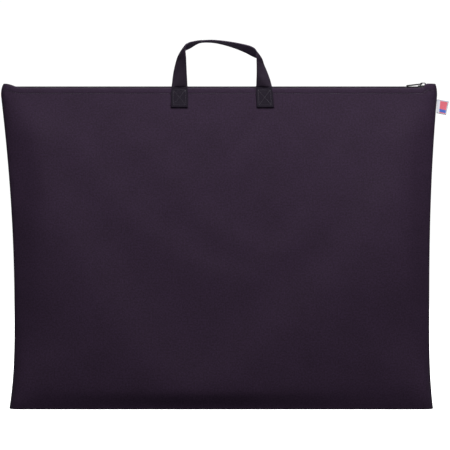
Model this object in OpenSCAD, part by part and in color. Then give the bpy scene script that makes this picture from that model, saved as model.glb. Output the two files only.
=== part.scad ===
// Soft-sided portfolio case with a zipped mouth and two webbing carry handles.
// It stands on its flat bottom: X runs along the width, the front faces -Y and +Z is up.
// The origin is the centre of the bottom face.

/* [Case] */
// Height of the top edge above the floor
case_h = 510; // [460:1:600]
// Width of the case at its narrowest
waist_w = 661.5; // [560:0.5:720]
// Height at which the side edges pull in the most
waist_z = 150; // [100:5:220]
// How much further out the left edge stands at the top
left_flare = 23.5; // [0:0.5:30]
// How much further out the right edge stands at the top
right_flare = 14; // [0:0.5:30]
// How much further out the left bottom corner stands
left_foot = 8; // [0:1:15]
// How much further out the right bottom corner stands
right_foot = 6; // [0:1:15]
// Half the thickness of the case where it is fullest
belly = 28; // [26:1:34]
// Half the width of the flat bottom
foot_half = 23; // [22:1:25]
// Half the width of the top edge
top_half = 10; // [10:0.5:11]
// How far each top corner stands above the top edge
ear_h = 6.5; // [0:0.5:7]
// Thickness of the coated cloth
cloth = 1.2; // [0.8:0.1:1.4]

/* [Handles] */
// Width of the webbing
web_w = 25.4; // [20:0.1:30]
// Thickness of the webbing
web_t = 2; // [1.5:0.1:2.5]
// Half the distance between the two legs of a handle
leg_x = 67.2; // [60:0.1:75]
// Height of the handle above its hinge
arch_h = 73; // [60:1:85]
// Length of webbing sewn flat to the panel
sewn_l = 32; // [25:1:45]
// Angle by which an upright handle leans outwards
lean = 2.5; // [2:0.5:6]
// Angle by which the back handle has fallen from upright
back_fall = 150; // [140:1:151]

/* [Zip] */
// Width of one row of coil
coil_w = 2.6; // [2.4:0.1:2.7]
// Length of the slider
slider_l = 15; // [14:0.5:16]
// Length of the pull tab from its pin to its tip
tab_l = 24.5; // [20:0.5:28]
// Width of the pull tab
tab_w = 7; // [6:0.5:8]

/* [Label] */
// Width of the folded label outside the seam
label_w = 18; // [10:0.5:25]
// Height of the label
label_h = 22; // [15:0.5:30]
// Height of the middle of the label above the floor
label_z = 481; // [440:1:485]
// Angle by which the label droops
label_tilt = 11; // [0:1:15]

/* [Hidden] */

// Colours
cloth_colour = [0.17, 0.14, 0.19];
webbing_colour = [0.14, 0.12, 0.16];
binding_colour = [0.09, 0.08, 0.1];
thread_colour = [0.1, 0.08, 0.12];
coil_colour = [0.06, 0.06, 0.07];
board_colour = [0.2, 0.2, 0.21];
metal_colour = [0.08, 0.08, 0.09];

// Panel shape
seam_half = cloth + 0.4;
foot_z = 50;
left_bend = 2;
right_bend = 2.5;
corner_z = 18;
left_nip = 5.5;
right_nip = 4;
hem = 9.5;
left_ear = [31, 4];
right_ear = [21, 16];
soft_side = 4;
square_side = 60;
mouth_half = 7.5;
panel_columns = 16;
panel_rows = 18;
fit = 0.3;

// Zip levels, measured from the top edge
coil_gap = 0.15;
coil_spread = 1.35;
zip_rise = 1.15;
coil_low = zip_rise - 1.35;
coil_top = zip_rise + 1.25;
tape_low = -2.2;
tape_t = 0.8;
tape_foot = 7.2;
tape_knee = 5.6;
plate_low = zip_rise + 1.6;
plate_top = zip_rise + 2.8;
sole_low = zip_rise - 4.2;
sole_top = zip_rise - 2.9;
zip_right = waist_w / 2 + right_flare - right_nip;
zip_left = -(waist_w / 2 + left_flare - left_nip);
coil_end_right = zip_right - 5;
coil_end_left = zip_left + 12;
slider_x = zip_right - 20.25;
pin_r = 0.7;
pin_x = slider_x - 2.05;
pin_z = case_h + 6.4;
crown_w = 2.2;
tab_slope = -6.6;

// Hinge line of the handles
leg_y = top_half + 0.3;
hinge_y = leg_y + web_t + 0.1;
hinge_z = case_h + 0.4;

// Smooth step from 0 at a to 1 at b
function ramp(a, b, v) = let (t = min(1, max(0, (v - a) / (b - a)))) t * t * (3 - 2 * t);

// Distance of the side edge from the middle at height z, side = -1 left or 1 right
function edge(side, z) =
    let (
        flare = side < 0 ? left_flare : right_flare,
        bend = side < 0 ? left_bend : right_bend,
        foot = side < 0 ? left_foot : right_foot,
        corner = side < 0 ? left_nip : right_nip,
        up = max(0, z - waist_z) / (case_h - waist_z),
        down = max(0, waist_z - z) / waist_z,
        nip = max(0, z - case_h + corner_z) / corner_z
    )
    waist_w / 2 + flare * up ^ bend + foot * down ^ 3 - corner * nip ^ 2;

// Half thickness in the middle of the case at height z
function depth(z) =
    let (down = max(0, foot_z - z) / foot_z)
    (top_half + (belly - top_half) * (1 - (z / case_h) ^ 2.2)) * (1 - (1 - foot_half / belly) * down ^ 2.2);

// How square the section is at height z: soft in the middle, boxed at the top and bottom
function squareness(z) = soft_side + (square_side - soft_side) * abs(2 * z / case_h - 1) ^ 6;

// Half thickness at x and z, from the middle plane to the outside of the cloth
function half_at(x, z) =
    let (u = min(1, abs(x) / edge(sign(x), z)))
    seam_half + (depth(z) - seam_half) * sqrt(1 - u ^ squareness(z));

// X of a point at the share u of the way to the side edge
function x_at(u, z) = u * edge(sign(u), z);

// Rise of the top edge towards its corners
function ear(x) =
    let (
        inside = edge(sign(x), case_h) - abs(x),
        reach = x < 0 ? left_ear : right_ear
    )
    ear_h * ramp(reach[0], reach[1], inside);

// A point of the panel at share u, drawn at height z and thinned by t
function skin(u, z, t = 0) =
    let (x = x_at(u, z))
    [x, -(half_at(x, z) - t), z + ear(x) * (z / case_h) ^ 12];

// Shares of the width and heights at which a panel is drawn, closer together where it curves
columns = [for (i = [-panel_columns : panel_columns]) sin(90 * i / panel_columns)];
rows = [for (j = [0 : panel_rows]) case_h * (j / panel_rows) ^ 1.5];

// Closed outline of the panel's section at share u
function panel_ring(u) =
    let (
        top = skin(u, case_h),
        inner = -top.y - cloth,
        lip = min(inner - 0.05, max(mouth_half, -top.y - 5))
    )
    concat(
        [for (z = rows) skin(u, z)],
        [[top.x, -lip, top.z], [top.x, -lip, top.z - cloth]],
        [for (j = [panel_rows : -1 : 0]) skin(u, min(rows[j], case_h - cloth), cloth)]
    );

// Closed solid through a row of rings with the same number of points
module loft(rings) {
    n = len(rings[0]);
    m = len(rings);
    points = [for (ring = rings) each ring];
    sides = [
        for (i = [0 : m - 2]) for (k = [0 : n - 1])
            let (a = i * n + k, b = i * n + (k + 1) % n)
            each [[a, b, b + n], [a, b + n, a + n]]
    ];
    first = [for (k = [1 : n - 2]) [0, k + 1, k]];
    last = [for (k = [1 : n - 2]) [0, k, k + 1] + (m - 1) * n * [1, 1, 1]];
    polyhedron(points, concat(sides, first, last));
}

// Panel end caps join each outer point to the inner point behind it
module panel_loft(rings) {
    n = len(rings[0]);
    m = len(rings);
    last_start = (m - 1) * n;
    points = [for (ring = rings) each ring];
    sides = [
        for (i = [0 : m - 2]) for (k = [0 : n - 1])
            let (a = i * n + k, b = i * n + (k + 1) % n)
            each [[a, a + n, b + n], [a, b + n, b]]
    ];
    caps = [
        for (k = [0 : n / 2 - 2])
            let (a = k, b = k + 1, c = n - 2 - k, d = n - 1 - k)
            each [
                [a, b, c], [a, c, d],
                [last_start + a, last_start + c, last_start + b],
                [last_start + a, last_start + d, last_start + c]
            ]
    ];
    polyhedron(points, concat(sides, caps));
}

module at_back() mirror([0, 1, 0]) children();

module panel() color(cloth_colour) panel_loft([for (u = columns) panel_ring(u)]);

// Flat cloth or webbing laid on the panel from x0 to x1 and z0 to z1, from depth a to depth b
module laid_on(x0, x1, z0, z1, a, b) {
    steps = 4;
    loft([
        for (j = [0 : steps])
            let (z = z0 + (z1 - z0) * j / steps)
            [
                [x0, -half_at(x0, z) - a, z], [x1, -half_at(x1, z) - a, z],
                [x1, -half_at(x1, z) - b, z], [x0, -half_at(x0, z) - b, z]
            ]
    ]);
}

// Thread lying on the panel, raised by a, along a list of [x, z] points
module thread(route, a, width = 0.8, height = 0.4) {
    loft([
        for (i = [0 : len(route) - 1])
            let (
                step = route[min(i + 1, len(route) - 1)] - route[max(i - 1, 0)],
                side = [-step.y, step.x] / norm(step) * width / 2,
                p = route[i] - side,
                q = route[i] + side
            )
            [
                [p.x, -half_at(p.x, p.y) - a, p.y], [q.x, -half_at(q.x, q.y) - a, q.y],
                [q.x, -half_at(q.x, q.y) - a - height, q.y], [p.x, -half_at(p.x, p.y) - a - height, p.y]
            ]
    ]);
}

// Topstitching below the top edge, broken where the handle's sewn ends cover it
module topstitch() {
    z = case_h - hem;
    clear = web_w / 2 + 0.4;
    steps = 12;
    color(thread_colour) {
        thread([[-leg_x + clear, z], [0, z], [leg_x - clear, z]], 0.05);
        for (side = [-1, 1])
            let (from = side * (leg_x + clear), to = side * (edge(side, z) - 1.5))
            thread([for (i = [0 : steps]) [from + (to - from) * sin(90 * i / steps), z]], 0.05);
    }
}

// One row of the zip's tape: flat under the panel's lip, then raised to carry the coil
module zipper_tape() {
    inner = coil_gap + coil_spread - 0.1;
    color(binding_colour)
    loft([
        for (u = columns)
            let (
                x = x_at(u * 0.99, case_h + tape_low),
                outer = half_at(x, case_h + tape_low) - cloth - 0.3,
                foot = min(tape_foot, outer - 0.1),
                knee = min(tape_knee, outer - 0.2),
                low = case_h + tape_low,
                high = low + zip_rise
            )
            [
                [x, -outer, low], [x, -foot, low], [x, -knee, high], [x, -inner, high],
                [x, -inner, high + tape_t], [x, -knee, high + tape_t],
                [x, -foot, low + tape_t], [x, -outer, low + tape_t]
            ]
    ]);
}

// How far the two rows of coil are spread apart by the slider's post
function spread(x) = coil_spread * ramp(slider_x - 5, slider_x + 5, x);

module zipper_coil() {
    xs = concat(coil_end_left, [for (i = [-6 : 6]) slider_x + i], coil_end_right);
    color(coil_colour)
    translate([0, 0, case_h + coil_low])
    linear_extrude(coil_top - coil_low)
    polygon(concat(
        [for (x = xs) [x, -coil_gap - spread(x)]],
        [for (i = [len(xs) - 1 : -1 : 0]) [xs[i], -coil_gap - coil_w - spread(xs[i])]]
    ));
}

module zipper_bottom_stop() {
    color(metal_colour)
    translate([coil_end_left - 4.1, -coil_w - 0.6, case_h + coil_low])
    cube([4, 2 * coil_w + 1.2, coil_top - coil_low + 0.3]);
}

module zipper_top_stops() {
    color(metal_colour)
    for (side = [-1, 1])
    translate([coil_end_right + 1.6, side * (coil_gap + coil_spread + coil_w / 2), case_h + (coil_low + coil_top) / 2])
    cube([3, coil_w + 0.2, coil_top - coil_low], center = true);
}

// The webbing's two sewn ends, side = -1 left or 1 right
module anchor(side) {
    color(webbing_colour)
    laid_on(side * leg_x - web_w / 2, side * leg_x + web_w / 2, case_h - sewn_l, case_h - 0.2, 0.05, web_t - 0.15);
}

module backing_patches() {
    patch_w = web_w + 10;
    patch_h = sewn_l + 6;
    color(cloth_colour)
    for (side = [-1, 1])
    laid_on(side * leg_x - patch_w / 2, side * leg_x + patch_w / 2, case_h - 3 - patch_h, case_h - 3, -cloth - 0.9, -cloth - 0.1);
}

// A box of stitches with a cross in it on each sewn end
module anchor_stitching() {
    half_w = web_w / 2 - 3;
    top = case_h - 4;
    low = case_h - sewn_l + 4;
    lines = [
        [[-half_w, low], [-half_w, top]], [[half_w, low], [half_w, top]],
        [[-half_w + 0.6, top], [half_w - 0.6, top]], [[-half_w + 0.6, low], [half_w - 0.6, low]],
        [[-half_w + 1, low + 1], [half_w - 1, top - 1]]
    ];
    color(thread_colour)
    for (side = [-1, 1]) for (line = lines)
        thread([for (t = [0 : 0.25 : 1]) line[0] + t * (line[1] - line[0]) + [side * leg_x, 0]], web_t - 0.1);
}

module bottom_panel() {
    outline = [for (u = columns) let (x = x_at(u, 0)) [x * (1 - fit / waist_w * 3), half_at(x, 0) - cloth - fit]];
    color(cloth_colour)
    linear_extrude(cloth)
    polygon(concat(outline, [for (i = [len(outline) - 1 : -1 : 0]) [outline[i].x, -outline[i].y]]));
}

module base_board() {
    board_w = 2 * foot_half - 8;
    board_l = waist_w - 24;
    color(board_colour)
    translate([-board_l / 2, -board_w / 2, cloth + fit])
    cube([board_l, board_w, 2]);
}

// Bound seam allowance inside a side seam, side = -1 left or 1 right
module seam_binding(side) {
    steps = 16;
    zs = [for (i = [0 : steps]) 12 + (case_h - 32) * i / steps];
    color(binding_colour)
    rotate([90, 0, 0])
    linear_extrude(2.4, center = true)
    polygon(concat(
        [for (z = zs) [side * (edge(side, z) - 3), z]],
        [for (i = [steps : -1 : 0]) [side * (edge(side, zs[i]) - 13), zs[i]]]
    ));
}

// Slider with its two plates, side walls, post and crown
module slider_body() {
    narrow = 4.4;
    wide = 5.5;
    half = slider_l / 2;
    plate = [[-half, -narrow], [half, -wide], [half, wide], [-half, narrow]];
    wall = [[-half, -narrow], [half, -wide], [half, -wide + 0.9], [-half, -narrow + 1.1]];
    wall_low = zip_rise - 0.9;
    crown_l = 9;
    crown_top = 8.6;
    hole_h = 3.4;
    color(metal_colour)
    translate([slider_x, 0, case_h]) {
        translate([0, 0, plate_low]) linear_extrude(plate_top - plate_low) polygon(plate);
        translate([0, 0, sole_low]) linear_extrude(sole_top - sole_low) polygon(plate);
        for (m = [0, 1]) mirror([0, m, 0])
            translate([0, 0, wall_low]) linear_extrude(plate_low - wall_low + 0.1) polygon(wall);
        translate([4, 0, sole_top - 0.1]) cylinder(r = 1.1, h = plate_low - sole_top + 0.2, $fn = 24);
        rotate([90, 0, 0]) linear_extrude(crown_w, center = true) difference() {
            union() {
                translate([-crown_l / 2, plate_top - 0.1]) square([crown_l, 1.8]);
                for (end = [-1, 1]) translate([end * (crown_l / 2 - 2), crown_top - 2]) circle(r = 2, $fn = 32);
                translate([-crown_l / 2 + 2, plate_top - 0.1]) square([crown_l - 4, crown_top - plate_top + 0.1]);
            }
            translate([-3, plate_top]) square([6, hole_h]);
        }
    }
}

// Pull tab, drawn lying to the left of its pin
module pull_tab() {
    arm_in = crown_w / 2 + 0.4;
    arm_w = 1.3;
    arm_l = 8;
    thick = 1.8;
    color(metal_colour)
    translate([pin_x, 0, pin_z])
    rotate([0, tab_slope, 0]) {
        rotate([90, 0, 0]) cylinder(r = pin_r, h = 2 * (arm_in + arm_w), center = true, $fn = 24);
        for (side = [-1, 1]) {
            translate([0, side * (arm_in + arm_w / 2), 0])
            rotate([90, 0, 0]) cylinder(r = 1.1, h = arm_w, center = true, $fn = 24);
            translate([-arm_l, side * (arm_in + arm_w / 2) - arm_w / 2, -thick / 2]) cube([arm_l, arm_w, thick]);
        }
        difference() {
            union() {
                translate([-tab_l + tab_w / 2, -tab_w / 2, -thick / 2]) cube([tab_l - tab_w / 2 - arm_l, tab_w, thick]);
                translate([-tab_l + tab_w / 2, 0, -thick / 2]) cylinder(d = tab_w, h = thick, $fn = 48);
            }
            translate([-tab_l + tab_w / 2 + 0.5, 0, -thick]) cylinder(d = 3, h = 2 * thick, $fn = 32);
        }
    }
}

// Smooth curve through a list of points, at t from 0 to the index of the last one
function curve(p, t) =
    let (
        i = min(len(p) - 2, floor(t)),
        s = t - i,
        a = p[max(0, i - 1)],
        b = p[i],
        c = p[i + 1],
        d = p[min(len(p) - 1, i + 2)]
    )
    b + s * ((c - a) / 2 + s * ((2 * a - 5 * b + 4 * c - d) / 2 + s * (3 * b - a - 3 * c + d) / 2));

// Height of a handle point above the hinge as a share of its full height
function rise(share) = share * arch_h;

// Edges of the handle's webbing from the left leg to the right one, as [x, y, share of the height].
// Each leg lies flat to the front; over the arch the first edge is in front and the second behind.
foot_in = leg_x - web_w / 2;
foot_out = leg_x + web_w / 2;
front_edge = [
    [-foot_in, 0, 0], [-55.5, -5.5, 0.33], [-56.5, -9.5, 0.62], [-57.5, -9, 0.88], [-52, -10, 0.945],
    [-45.5, -12, 0.97], [-32.5, -13, 0.99], [-15, -13.5, 1], [4, -13.5, 0.98], [22, -13, 0.945],
    [38, -12, 0.9], [47.5, -11, 0.86], [53, -10.5, 0.8], [54.5, -9, 0.665], [55, -8, 0.56],
    [55, -6, 0.315], [foot_in, 0, 0]
];
rear_edge = [
    [-foot_out, 0, 0], [-77, 6, 0.3], [-72, 8.5, 0.535], [-70, 8.5, 0.685], [-61.5, 9.5, 0.775],
    [-51, 11, 0.85], [-35, 12, 0.97], [-16, 12, 0.98], [3, 12, 0.93], [22.5, 11.5, 0.845],
    [37, 11, 0.76], [48, 10.5, 0.68], [57, 11, 0.625], [63.5, 11, 0.545], [69, 10.5, 0.425],
    [75, 6.5, 0.22], [foot_out, 0, 0]
];

function handle_point(p) = [p.x, p.y - leg_y - web_t / 2, hinge_z + rise(p.z)];

function handle_ring(t) =
    let (
        e = 0.02,
        last = len(front_edge) - 1,
        front = handle_point(curve(front_edge, t)),
        rear = handle_point(curve(rear_edge, t)),
        before = handle_point(curve(front_edge, max(0, t - e)) + curve(rear_edge, max(0, t - e))),
        after = handle_point(curve(front_edge, min(last, t + e)) + curve(rear_edge, min(last, t + e))),
        out = cross(front - rear, after - before),
        b = out / norm(out) * web_t / 2
    )
    [rear - b, front - b, front + b, rear + b];

// Handle loop, turned down by fall degrees from upright
module handle(fall) {
    steps = 64;
    last = len(front_edge) - 1;
    color(webbing_colour)
    translate([0, -hinge_y, hinge_z])
    rotate([fall + lean, 0, 0])
    translate([0, hinge_y, -hinge_z])
    loft([for (i = [0 : steps]) handle_ring(last * i / steps)]);
}

// Folded woven label sewn into the right side seam
module side_label() {
    x = edge(1, label_z) + 1.2;
    color("salmon")
    translate([x, 0, label_z])
    rotate([90, 0, 0])
    linear_extrude(0.8, center = true)
    intersection() {
        rotate(-label_tilt) translate([-6, -label_h / 2]) square([label_w + 6, label_h]);
        translate([0, -label_h]) square([2 * label_w, 2 * label_h]);
    }
}

bottom_panel();
base_board();
seam_binding(-1);  // left_seam_binding
seam_binding(1);  // right_seam_binding
zipper_bottom_stop();
zipper_top_stops();
panel();  // front_panel
topstitch();  // front_topstitch
zipper_tape();  // front_zipper_tape
zipper_coil();  // front_zipper_coil
anchor(-1);  // front_left_anchor
anchor(1);  // front_right_anchor
anchor_stitching();  // front_anchor_stitching
backing_patches();  // front_backing_patches
at_back() panel();  // back_panel
at_back() topstitch();  // back_topstitch
at_back() zipper_tape();  // back_zipper_tape
at_back() zipper_coil();  // back_zipper_coil
at_back() anchor(-1);  // back_left_anchor
at_back() anchor(1);  // back_right_anchor
at_back() anchor_stitching();  // back_anchor_stitching
at_back() backing_patches();  // back_backing_patches
slider_body();
pull_tab();
handle(0);  // front_handle
at_back() handle(back_fall);  // back_handle
side_label();
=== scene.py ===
import math

import bmesh
import bpy
import numpy as np
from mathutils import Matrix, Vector, noise


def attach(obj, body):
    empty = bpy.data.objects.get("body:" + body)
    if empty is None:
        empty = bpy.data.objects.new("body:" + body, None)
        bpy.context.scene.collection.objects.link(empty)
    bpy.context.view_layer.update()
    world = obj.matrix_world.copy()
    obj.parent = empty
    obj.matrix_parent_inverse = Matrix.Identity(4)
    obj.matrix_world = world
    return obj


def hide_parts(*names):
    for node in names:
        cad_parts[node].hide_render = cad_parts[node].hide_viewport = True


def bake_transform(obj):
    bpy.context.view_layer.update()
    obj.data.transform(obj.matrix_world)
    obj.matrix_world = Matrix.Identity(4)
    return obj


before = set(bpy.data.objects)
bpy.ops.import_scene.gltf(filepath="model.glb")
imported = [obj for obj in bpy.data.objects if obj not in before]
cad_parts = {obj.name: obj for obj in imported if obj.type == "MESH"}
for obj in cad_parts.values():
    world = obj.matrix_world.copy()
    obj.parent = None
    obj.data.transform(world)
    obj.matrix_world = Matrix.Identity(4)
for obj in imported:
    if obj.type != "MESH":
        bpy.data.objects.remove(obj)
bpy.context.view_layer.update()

MM = 0.001

# The driving dimensions of the case, in millimetres, as in the CAD model
CASE_H = 510
WAIST_W = 661.5
WAIST_Z = 150
FLARE = {-1: 23.5, 1: 14}
FLARE_BEND = {-1: 2, 1: 2.5}
FOOT = {-1: 8, 1: 6}
BELLY = 28
FOOT_HALF = 23
TOP_HALF = 10
EAR_H = 6.5
EAR_REACH = {-1: (31, 4), 1: (21, 16)}
EAR_POWER = 12
SQUARE_MID = 4
SQUARE_END = 60
SQUARE_POWER = 6
DEPTH_POWER = 2.2
CLOTH = 1.2
SEAM_HALF = CLOTH + 0.4
FOOT_Z = 50
CORNER_Z = 18
CORNER_NIP = {-1: 5.5, 1: 4}
PANEL_LOW = 0.15
HEM = 9.5
ROLL = 2.2
MOUTH_HALF = 7.5

# Handles
WEB_W = 25.4
WEB_T = 2
LEG_X = 67.2
ARCH_H = 73
SEWN_L = 32
LEAN = 2.5
BACK_FALL = 150
LEG_Y = TOP_HALF + 0.3
HINGE_Y = LEG_Y + WEB_T + 0.1
HINGE_Z = CASE_H + 0.4
BEND_L = 15
ASKEW = 1.6
# The strap is never flatter than this share of its width from edge to edge
FLATTEST = 0.9995

# Zip; its coil stands slightly higher than in the CAD model
COIL_W = 2.6
COIL_H = 2.95
COIL_GAP = 0.15
COIL_SPREAD = 1.35
ZIP_RISE = 1.15
COIL_SUNK = 1.4
COIL_MID = CASE_H + ZIP_RISE - COIL_SUNK + COIL_H / 2
TAPE_LOW = -2.2
TAPE_T = 0.8
TAPE_FOOT = 7.2
TAPE_KNEE = 5.6
ZIP_RIGHT = WAIST_W / 2 + FLARE[1] - CORNER_NIP[1]
ZIP_LEFT = -(WAIST_W / 2 + FLARE[-1] - CORNER_NIP[-1])
COIL_RIGHT = ZIP_RIGHT - 5
COIL_LEFT = ZIP_LEFT + 12
SLIDER_X = ZIP_RIGHT - 20.25

# Label; its cloth is drawn shorter than in the CAD model
LABEL_W = 18
LABEL_CUT = 0.6
LABEL_H = 22
LABEL_Z = 481
LABEL_TILT = 11

# Threads and textures
THREAD_R = 0.28
STITCH_RISE = 0.3
STITCH_GAP = 0.16
NYLON_PITCH = 0.62
LABEL_PITCH = 0.34
FLUTE_PITCH = 0.0035

# -1 is the front or the left, 1 the back or the right
FACE = {-1: "front", 1: "back"}
HAND = {-1: "left", 1: "right"}
# Where the noise of each panel's folds starts
SEED = {-1: 3, 1: 11}


# -------------------------------- shape of the case

def ramp(a, b, v):
    """Smooth step from 0 at a to 1 at b."""
    t = np.clip((np.asarray(v, float) - a) / (b - a), 0, 1)
    return t * t * (3 - 2 * t)


def by_side(x, values):
    """The value for the left or the right side, whichever x is on."""
    return np.where(np.asarray(x, float) < 0, values[-1], values[1])


def edge(x, z):
    """Distance of the side edge from the middle, on the side that x is on, at height z."""
    z = np.asarray(z, float)
    up = np.maximum(0, z - WAIST_Z) / (CASE_H - WAIST_Z)
    down = np.maximum(0, WAIST_Z - z) / WAIST_Z
    nip = np.maximum(0, z - CASE_H + CORNER_Z) / CORNER_Z
    flared = WAIST_W / 2 + by_side(x, FLARE) * up ** by_side(x, FLARE_BEND)
    return flared + by_side(x, FOOT) * down**3 - by_side(x, CORNER_NIP) * nip**2


def depth(z):
    """Half thickness in the middle of the case at height z."""
    z = np.clip(np.asarray(z, float), 0, CASE_H)
    down = np.maximum(0, FOOT_Z - z) / FOOT_Z
    full = TOP_HALF + (BELLY - TOP_HALF) * (1 - (z / CASE_H) ** DEPTH_POWER)
    return full * (1 - (1 - FOOT_HALF / BELLY) * down**DEPTH_POWER)


def half_at(x, z):
    """Half thickness at x and z, from the middle plane to the outside of the cloth."""
    x, z = np.asarray(x, float), np.asarray(z, float)
    share = np.clip(np.abs(x) / edge(x, z), 0, 1)
    square = SQUARE_MID + (SQUARE_END - SQUARE_MID) * np.abs(2 * z / CASE_H - 1) ** SQUARE_POWER
    return SEAM_HALF + (depth(z) - SEAM_HALF) * np.sqrt(np.maximum(0, 1 - share**square))


def ear(x):
    """Rise of the top edge towards its corners."""
    x = np.asarray(x, float)
    inside = edge(x, CASE_H) - np.abs(x)
    return EAR_H * np.where(x < 0, ramp(*EAR_REACH[-1], inside), ramp(*EAR_REACH[1], inside))


def lifted(x, z):
    """Height of a point drawn at x and z once the corners are raised."""
    return z + ear(x) * np.clip(np.asarray(z, float) / CASE_H, 0, 1.02) ** EAR_POWER


def spread(x):
    """How far the slider's post holds the two rows of coil apart."""
    return COIL_SPREAD * ramp(SLIDER_X - 5, SLIDER_X + 5, x)


# -------------------------------- relief of the cloth

# Soft folds of the hanging cloth, each from its left end over its lowest point to its right end,
# as [x, z] in millimetres, then its half width above and below, and its height
SWAGS = [
    ((-330, 455), (-45, 28), (325, 430), 55, 95, 5.5),
    ((-240, 420), (25, 205), (210, 430), 26, 34, 1.7),
    ((-70, 335), (90, 248), (180, 320), 20, 24, 0.9),
    ((-150, 440), (-40, 360), (60, 425), 24, 30, 0.7),
    ((140, 470), (250, 330), (330, 400), 26, 40, 0.6),
]
# Creases that run down from the sewn ends of the handle, from [x, z] to [x, z]
CREASES = [
    ((60, 478), (-24, 325), 13, -0.75),
    ((-64, 474), (-96, 372), 14, 0.6),
    ((72, 474), (150, 352), 16, 0.55),
]
# How far the cloth stands out at its sides, beside the big fold, and the height where it is fullest
BULGE = {-1: 3, 1: 8.5}
BULGE_Z = 210
# The curve of a U-shaped fold
SWAG_POWER = 1.8


def swag_relief(x, z):
    """Height of the soft U-shaped folds."""
    total = np.zeros(np.broadcast(x, z).shape)
    for left, low, right, above, below, height in SWAGS:
        end_x = np.where(x < low[0], left[0], right[0])
        end_z = np.where(x < low[0], left[1], right[1])
        share = np.abs((x - low[0]) / (end_x - low[0]))
        line = low[1] + (end_z - low[1]) * share**SWAG_POWER
        slope = SWAG_POWER * share ** (SWAG_POWER - 1) * (end_z - low[1]) / np.abs(end_x - low[0])
        distance = (z - line) / np.sqrt(1 + slope**2)
        width = np.where(distance > 0, above, below)
        reach = ramp(left[0] - 70, left[0] + 50, x) * ramp(right[0] + 70, right[0] - 50, x)
        total = total + reach * height * np.exp(-((distance / width) ** 2))
    return total


def crease_relief(x, z):
    """Height of the straight creases below the handle, each wider towards its lower end."""
    total = np.zeros(np.broadcast(x, z).shape)
    for start, end, width, height in CREASES:
        run = np.hypot(end[0] - start[0], end[1] - start[1])
        along = ((x - start[0]) * (end[0] - start[0]) + (z - start[1]) * (end[1] - start[1])) / run
        aside = ((x - start[0]) * (end[1] - start[1]) - (z - start[1]) * (end[0] - start[0])) / run
        reach = ramp(-15, 30, along) * ramp(run + 30, run - 60, along)
        spread_width = width * (0.5 + along / run * 0.7).clip(0.4)
        total = total + reach * height * np.exp(-((aside / spread_width) ** 2))
    return total


def side_bulge(x, z):
    """The cloth stands out beside the big fold, more on the right, and falls back to its foot."""
    sides = ramp(0.3, 0.85, np.abs(x) / edge(x, z)) * ramp(0, 40, edge(x, z) - np.abs(x))
    return by_side(x, BULGE) * sides * ramp(0, BULGE_Z, z) * ramp(CASE_H - 10, BULGE_Z, z)


def smooth_noise(x, z, size, seed):
    """Smooth noise from -1 to 1 at each point, with features of the given size."""
    x, z = np.broadcast_arrays(x, z)
    layer = seed * 7.3
    places = zip(x.ravel() / size, z.ravel() / size)
    return np.array([noise.noise(Vector((a, b, layer))) for a, b in places]).reshape(x.shape)


def inside_field(x, z):
    """1 over the open part of a panel, 0 along its seams, hem and sewn ends."""
    x, z = np.asarray(x, float), np.asarray(z, float)
    sides = ramp(2, 60, edge(x, z) - np.abs(x))
    return sides * ramp(2, 30, z) * ramp(CASE_H - HEM - 2, CASE_H - 90, z)


def cloth_relief(x, z, seed):
    """How far the cloth stands out from its plain shape: folds, creases and soft waves, gathers along
    the side seams, fuller sides, puckers along the stitching, and the hem."""
    stitch_z = CASE_H - HEM
    inside = edge(x, z) - np.abs(x)
    free = inside_field(x, z)
    folds = swag_relief(x, z) if seed == SEED[-1] else swag_relief(-x, z)
    hung = ramp(CASE_H - 34, CASE_H - 60, z) * crease_relief(x, z)
    relief = free * (folds + 0.7 * smooth_noise(x, z, 95, seed)) + hung
    relief += free * 0.16 * smooth_noise(x, z, 31, seed + 1)
    gathers = ramp(0.5, 6, inside) * ramp(45, 6, inside)
    gathers = gathers * ramp(2, 12, z) * ramp(CASE_H - 12, CASE_H - 30, z)
    relief += 0.5 * gathers * smooth_noise(x * 0.25, z, 15, seed + 3)
    relief += side_bulge(x, z)
    pucker = np.exp(-(((z - stitch_z) / 5) ** 2)) * ramp(1, 12, inside)
    relief += 0.22 * pucker * smooth_noise(x, z * 0.4, 8, seed + 2)
    relief += 0.25 * ramp(stitch_z, stitch_z + 4, z) * ramp(CASE_H + 1, CASE_H - 3, z)
    relief -= 0.18 * np.exp(-(((z - stitch_z) / 1.0) ** 2))
    return relief


# -------------------------------- mesh tools

def mesh_object(name, points, faces, weave, material):
    """A smooth object from points in millimetres, with its small holes closed. weave is each point's
    place on its cloth."""
    mesh = bpy.data.meshes.new(name)
    mesh.from_pydata((np.asarray(points, float) * MM).tolist(), [], [list(f) for f in faces])
    obj = bpy.data.objects.new(name, mesh)
    bpy.context.scene.collection.objects.link(obj)
    place = mesh.attributes.new("weave", "FLOAT_VECTOR", "POINT")
    flat = np.zeros((len(points), 3), np.float32)
    flat[:, : np.shape(weave)[1]] = weave
    place.data.foreach_set("vector", flat.ravel())
    work = bmesh.new()
    work.from_mesh(mesh)
    bmesh.ops.holes_fill(work, edges=[e for e in work.edges if e.is_boundary], sides=8)
    bmesh.ops.recalc_face_normals(work, faces=work.faces)
    work.to_mesh(mesh)
    work.free()
    mesh.shade_smooth()
    mesh.materials.append(bpy.data.materials[material])
    return obj


def ring_faces(rows, count, start=0):
    """Quads through a row of closed rings of the same number of points."""
    faces = []
    for i in range(rows - 1):
        for k in range(count):
            a, b = start + i * count + k, start + i * count + (k + 1) % count
            faces.append((a, b, b + count, a + count))
    return faces


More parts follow.
